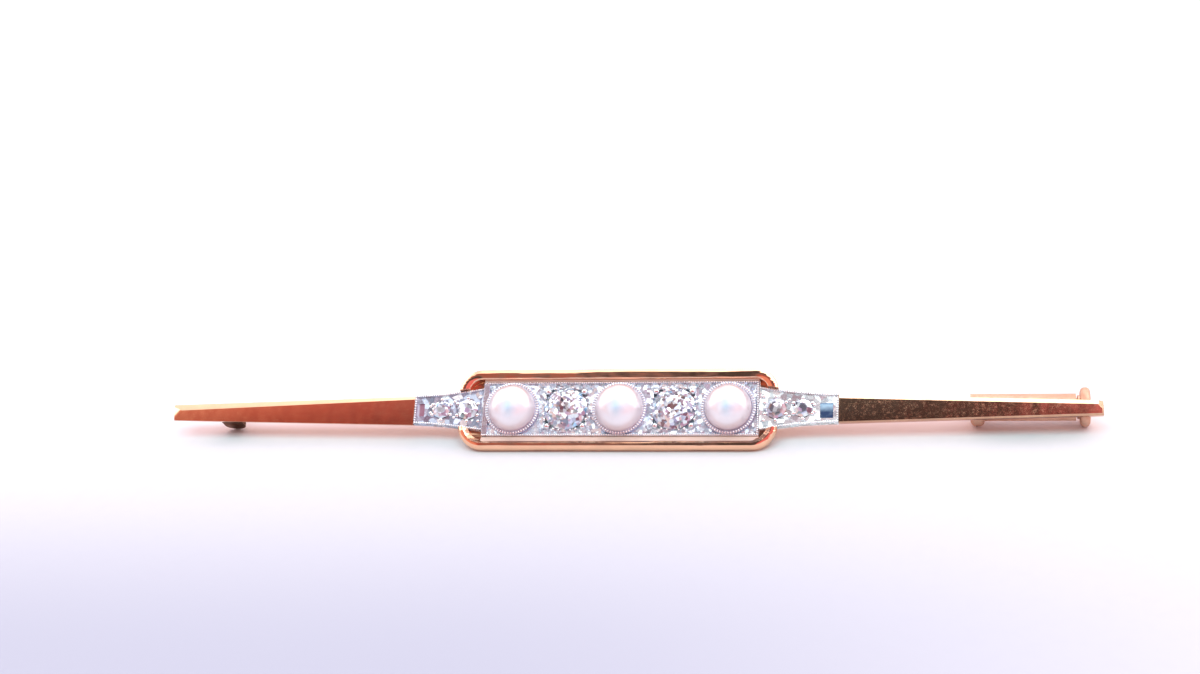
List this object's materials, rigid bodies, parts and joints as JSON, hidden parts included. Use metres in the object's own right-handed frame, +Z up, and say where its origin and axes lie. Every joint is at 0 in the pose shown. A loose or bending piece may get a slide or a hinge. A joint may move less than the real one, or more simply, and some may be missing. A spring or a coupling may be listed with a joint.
{
  "type": "brooch pin",
  "caption": "Long tapered gold bar brooch with a platinum plaque of pearls and old-cut diamonds in a round-cornered gold surround, closed by a pin and a sliding tube catch.",
  "frame": {"origin": "on the surface that the brooch lies on, under the middle of its bounding box", "axes": "+X along the bar towards the catch, -Y towards the side that the face looks to, +Z up"},
  "size_m": [0.068, 0.0058, 0.0047],
  "materials": {
    "gold": "polished rose gold",
    "platinum": "bright-cut platinum",
    "pearl": "soft nacre",
    "diamond": "cut and polished"
  },
  "bodies": {
    "brooch": {"gold_frame": "gold", "plaque": "platinum", "left_shoulder": "platinum", "right_shoulder": "platinum", "pearl_left": "pearl", "pearl_centre": "pearl", "pearl_right": "pearl", "diamond_left": "diamond", "diamond_right": "diamond", "diamond_left_inner": "diamond", "diamond_left_outer": "diamond", "diamond_right_inner": "diamond", "diamond_right_outer": "diamond", "pin_stem": "gold"},
    "catch": {"catch_slide": "gold"}
  },
  "joints": [
    {"name": "catch_pull", "type": "slide", "parent": "brooch", "child": "catch", "axis": [1, 0, 0], "range_m": [0, 0.0052]}
  ]
}
